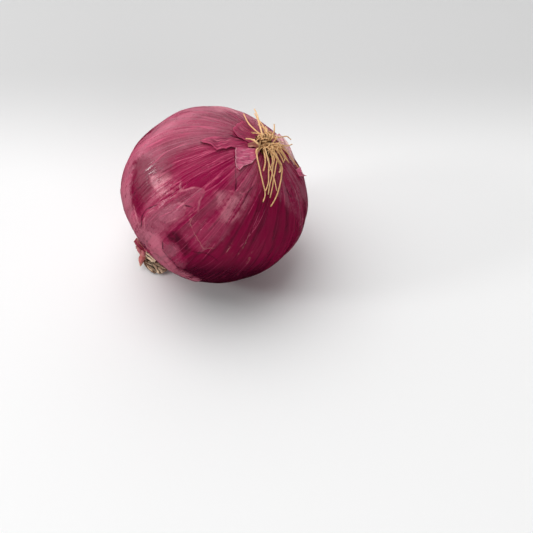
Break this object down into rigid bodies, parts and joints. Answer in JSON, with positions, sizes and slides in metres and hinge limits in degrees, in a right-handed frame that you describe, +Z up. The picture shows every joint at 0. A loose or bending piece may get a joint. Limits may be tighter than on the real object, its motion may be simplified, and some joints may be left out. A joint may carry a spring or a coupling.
{
  "type": "red onion",
  "caption": "Whole red onion with papery skin, torn skin scraps, a dry root tuft and a dry neck, lying on its belly.",
  "frame": {"origin": "on the surface that the onion lies on, in the flat spot straight below the bulb's middle", "axes": "+Z up; +X towards the root end, -X towards the neck, along the surface; the onion's own axis leans 36.5 degrees from +Z towards +X"},
  "size_m": [0.0905, 0.0858, 0.0889],
  "materials": {
    "red_skin": "thin dry skin, satin, magenta to dark wine, with fine streaks from root to neck",
    "loose_skin": "papery dry skin, half matte, dull wine to pale pink",
    "root_straw": "dry straw-coloured fibre, matte",
    "dry_leaf": "shrivelled dry leaf, tan to dark brown, matte",
    "neck_scale": "papery dry skin, half matte, brownish pink"
  },
  "bodies": {
    "root": {"bulb": "red_skin", "skin_tongue": "loose_skin", "skin_shoulder": "loose_skin", "skin_fold": "loose_skin", "skin_collar": "loose_skin", "skin_flake": "loose_skin", "root_tuft": "root_straw", "neck_core": "dry_leaf", "neck_scales": "neck_scale"}
  },
  "joints": []
}
